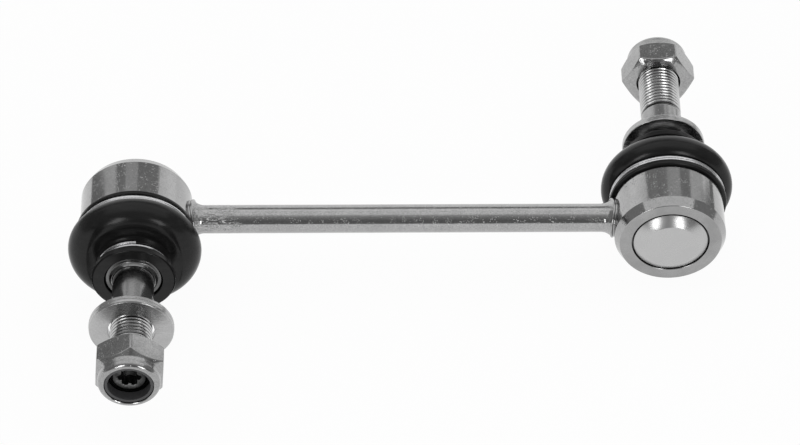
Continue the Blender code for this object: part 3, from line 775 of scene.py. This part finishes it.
def nutMesh(name, n):
    slope, collarSlope = math.tan(math.radians(n["slope"])), math.tan(math.radians(n["collarSlope"]))
    columns = []
    top, soft = n["height"], 0.2
    crown = bow(n["collar"] - n["collarRounding"], top - n["collarRounding"], n["collarRounding"], 90, 0, 10)
    for i in range(n["steps"]):
        a = 2 * math.pi * i / n["steps"]
        reach = hexReach(a - math.pi / 2, n["flat"], n["cornerRounding"])
        high = n["hexHeight"] - (reach - n["collar"]) * collarSlope
        low = (reach - n["bearing"]) * slope
        column = [(n["opening"] + 0.15, top)] + crown
        column += [(n["collar"], n["hexHeight"] + 0.3), (n["collar"] + 0.05, n["hexHeight"] + 0.08),
                   (n["collar"] + 0.2, n["hexHeight"] - 0.12)]
        column += [(reach - soft, high + soft * collarSlope), (reach - soft * 0.25, high - soft * 0.3),
                   (reach, high - soft * 1.1)]
        column += [(reach, low + soft * 1.1), (reach - soft * 0.25, low + soft * 0.3),
                   (reach - soft, low - soft * slope)]
        column += [(n["bearing"], 0.02), (n["bearing"] - 0.1, 0), (n["entry"] + 0.08, 0),
                   (n["entry"] - 0.03, 0.06), (n["bore"], n["entryLength"]), (n["bore"], n["pocketFloor"]),
                   (n["pocket"], n["pocketFloor"]), (n["pocket"], n["pocketTop"]),
                   (n["opening"], n["pocketTop"]), (n["opening"], top - 0.12)]
        columns.append(column)
    return sweptAround(name, columns, closed=True, crease=28)


def insertProfile(n):
    return [(n["outer"], n["high"]), (n["outer"], n["low"]),
            (n["bore"], n["low"], 0.3), (n["bore"], n["lipLow"] - 0.3),
            (n["lipBore"], n["lipLow"], 0.1), (n["lipBore"], n["lipHigh"], 0.25),
            (n["lipOuter"], n["lipHigh"], 0.25), (n["lipOuter"], n["high"])]


for side in joints:
    joint = joints[side]
    showPiece(side + "Washer", turnedMesh(side + "Washer", washerProfile(washerSize), 144), washerZinc,
              side + "_washer", side + "_washer", jointPlace(side, joint["washerAt"]))
    showPiece(side + "LockNut", nutMesh(side + "LockNut", nutSize), nutZinc, side + "_nut", side + "_lock_nut",
              jointPlace(side, joint["nutAt"], joint["nutAngle"]),
              # painted shade in the nut's bore and the insert's pocket
              [(paintedShadeSteel, lambda r, s: r < 6.6 or (r < 7.9 and 7.6 < s < 11.3))])
    showPiece(side + "NutInsert", turnedMesh(side + "NutInsert", insertProfile(insertSize), 128), insertNylon,
              side + "_nut_core", side + "_nut_insert", jointPlace(side, joint["nutAt"]))
print("washers and nuts made")

# stage: white floor, white surroundings with a few dark panels that the metal mirrors, two soft lamps

stageLook = {"floorAt": -19.35, "floorSize": 6000.0, "glow": 0.95}


def stageMaterial(name):
    material = bpy.data.materials.new(name)
    material.use_nodes = True
    material.node_tree.nodes.clear()
    return material, material.node_tree


def floorMaterial(glow):
    material, tree = stageMaterial("paleFloor")
    rays = addNode(tree, "ShaderNodeLightPath")
    seen = maths(tree, "ADD", rays.outputs["Is Camera Ray"], rays.outputs["Is Glossy Ray"])
    seen = maths(tree, "ADD", seen, rays.outputs["Is Transmission Ray"], use_clamp=True)
    share = maths(tree, "MULTIPLY", seen, glow)
    paint = addNode(tree, "ShaderNodeBsdfDiffuse", {"Color": (0.9, 0.9, 0.9, 1)})
    white = addNode(tree, "ShaderNodeEmission", {"Color": (1, 1, 1, 1), "Strength": 1.0})
    both = addNode(tree, "ShaderNodeMixShader", {"Fac": share, 1: paint.outputs[0], 2: white.outputs[0]})
    out = addNode(tree, "ShaderNodeOutputMaterial")
    tree.links.new(both.outputs[0], out.inputs["Surface"])
    return material


def panelMaterial(name, level):
    material, tree = stageMaterial(name)
    lit = addNode(tree, "ShaderNodeEmission", {"Color": (1, 1, 1, 1), "Strength": level})
    out = addNode(tree, "ShaderNodeOutputMaterial")
    tree.links.new(lit.outputs[0], out.inputs["Surface"])
    return material


def stagePlane(name, corners, material):
    mesh = bpy.data.meshes.new(name)
    mesh.from_pydata([Vector(c) * mm for c in corners], [], [tuple(range(len(corners)))])
    mesh.materials.append(material)
    plane = bpy.data.objects.new(name, mesh)
    bpy.context.scene.collection.objects.link(plane)
    return plane


half = stageLook["floorSize"] / 2
low = stageLook["floorAt"]
stagePlane("paleFloor", [(-half, -half, low), (half, -half, low), (half, half, low), (-half, half, low)],
           floorMaterial(stageLook["glow"]))

# panels behind the object, seen only in the metal: brightness and outline in (distance from the middle, height);
# each stands on both sides, the outer ones a little further out on the right
panels = {
    "bar": (0.28, [(0, 190), (150, 190), (150, 257), (102, 282), (60, 297), (60, 345), (0, 345)]),
    "edge": (0.52, [(60, 297), (102, 282), (150, 257), (187, 234), (187, 360), (60, 360)]),
    "block": (0.28, [(187, 205), (281, 205), (281, 297), (187, 297)]),
    "blockTop": (0.50, [(187, 297), (281, 297), (281, 360), (187, 360)]),
    "grey": (0.67, [(281, 80), (363, 80), (363, 345), (281, 345)]),
    "end": (0.24, [(363, -19), (900, -19), (900, 330), (363, 330)]),
}
wallAt, outerShift, outerFrom = 300, 1.055, 160


def hiddenPanel(name, corners, level):
    panel = stagePlane(name + "Panel", corners, panelMaterial(name + "Panel", level))
    panel.visible_camera = False
    panel.visible_diffuse = False
    panel.visible_shadow = False


for name, (level, outline) in panels.items():
    hiddenPanel(name, [(-x, wallAt, z) for x, z in outline], level)
    hiddenPanel(name, [(x * outerShift if x > outerFrom else x, wallAt, z) for x, z in outline], level)
# the dark floor beyond the white sheet, two small cards beside the left stud and two walls far out
cards = {"floorEnd": (0.24, -19, [(190, 100), (900, 100), (900, 300), (310, 300), (190, 180)]),
         "studSide": (0.07, 14, [(-31, -14), (-20.5, -14), (-20.5, 16), (-31, 16)]),
         "side": (0.30, 600, [(-350, 0), (280, 0), (280, 560), (-350, 560)])}
for sign in (-1, 1):
    level, height, outline = cards["floorEnd"]
    hiddenPanel("floorEnd", [(sign * x, y, height) for x, y in outline], level)
    for name, middle in (("studSide", joints["left"]["x"]), ("side", 0)):
        level, away, outline = cards[name]
        hiddenPanel(name, [(middle + sign * away, y, z) for y, z in outline], level)


def whiteRoom():
    world = bpy.data.worlds.new("whiteRoom")
    bpy.context.scene.world = world
    world.use_nodes = True
    tree = world.node_tree
    tree.nodes.clear()
    way = addNode(tree, "ShaderNodeSeparateXYZ", {0: addNode(tree, "ShaderNodeTexCoord").outputs["Generated"]})
    angle = maths(tree, "ARCTAN2", maths(tree, "MULTIPLY", way.outputs["Y"], -1.0), way.outputs["Z"])
    share = mapRange(tree, angle, -math.pi, math.pi, 0.0, 1.0)
    ramp = addNode(tree, "ShaderNodeValToRGB", {"Fac": share})
    # degrees from straight up towards the front, and the brightness there
    stops = [(-180, 0.9), (-76, 1.1), (-61, 0.95), (-37, 0.93), (-27, 1.15), (-16, 0.92), (0, 1.0), (12, 0.93),
             (20, 0.55), (34, 0.36), (50, 0.25), (62, 0.18), (84, 0.19), (94, 0.6), (180, 0.9)]
    marks = ramp.color_ramp.elements
    while len(marks) > 1:
        marks.remove(marks[-1])
    strength = 1.2      # the levels are divided by it, because a ramp holds nothing above 1
    for degrees, level in stops:
        mark = marks.new((degrees + 180) / 360) if degrees > -180 else marks[0]
        mark.color = (level / strength,) * 3 + (1,)
    room = addNode(tree, "ShaderNodeBackground", {"Color": ramp.outputs["Color"], "Strength": strength})
    plain = addNode(tree, "ShaderNodeBackground", {"Color": (1, 1, 1, 1), "Strength": 1.0})
    rays = addNode(tree, "ShaderNodeLightPath")
    both = addNode(tree, "ShaderNodeMixShader", {"Fac": rays.outputs["Is Camera Ray"], 1: room.outputs[0],
                                                 2: plain.outputs[0]})
    out = addNode(tree, "ShaderNodeOutputWorld")
    tree.links.new(both.outputs[0], out.inputs["Surface"])


whiteRoom()


def softLamp(name, at, width, height, level):
    lamp = bpy.data.lights.new(name, "AREA")
    lamp.shape = "RECTANGLE"
    lamp.size, lamp.size_y = width, height
    lamp.energy = math.pi * width * height * level
    holder = bpy.data.objects.new(name, lamp)
    bpy.context.scene.collection.objects.link(holder)
    holder.location = at
    holder.rotation_euler = Vector(at).to_track_quat("Z", "Y").to_euler()


for side, sign in (("left", -1), ("right", 1)):
    softLamp(side + "Lamp", (sign * 0.335, -0.71, 0.27), 0.17, 0.36, 5.0)


def photoCamera():
    view = {"distance": 1278.5, "elevation": 44.96, "azimuth": -1.02, "roll": 0.50, "lens": 4381.6 / 800 * 36,
            "aim": (-0.77, 0.0, -1.65)}
    e, a, roll = (math.radians(view[k]) for k in ("elevation", "azimuth", "roll"))
    back = Vector((math.sin(a) * math.cos(e), -math.cos(a) * math.cos(e), math.sin(e)))
    right = Vector((0, 0, 1)).cross(back).normalized()
    up = back.cross(right)
    tiltedRight = right * math.cos(roll) + up * math.sin(roll)
    tiltedUp = up * math.cos(roll) - right * math.sin(roll)
    data = bpy.data.cameras.new("photoCamera")
    data.lens = view["lens"]
    data.sensor_width = 36
    data.clip_start, data.clip_end = 0.05, 20
    camera = bpy.data.objects.new("photoCamera", data)
    bpy.context.scene.collection.objects.link(camera)
    turn = Matrix((tiltedRight, tiltedUp, back)).transposed().to_4x4()
    camera.matrix_world = Matrix.Translation((Vector(view["aim"]) + back * view["distance"]) * mm) @ turn
    bpy.context.scene.camera = camera


photoCamera()
bpy.context.scene.view_settings.view_transform = "Standard"
print("stage and camera made")
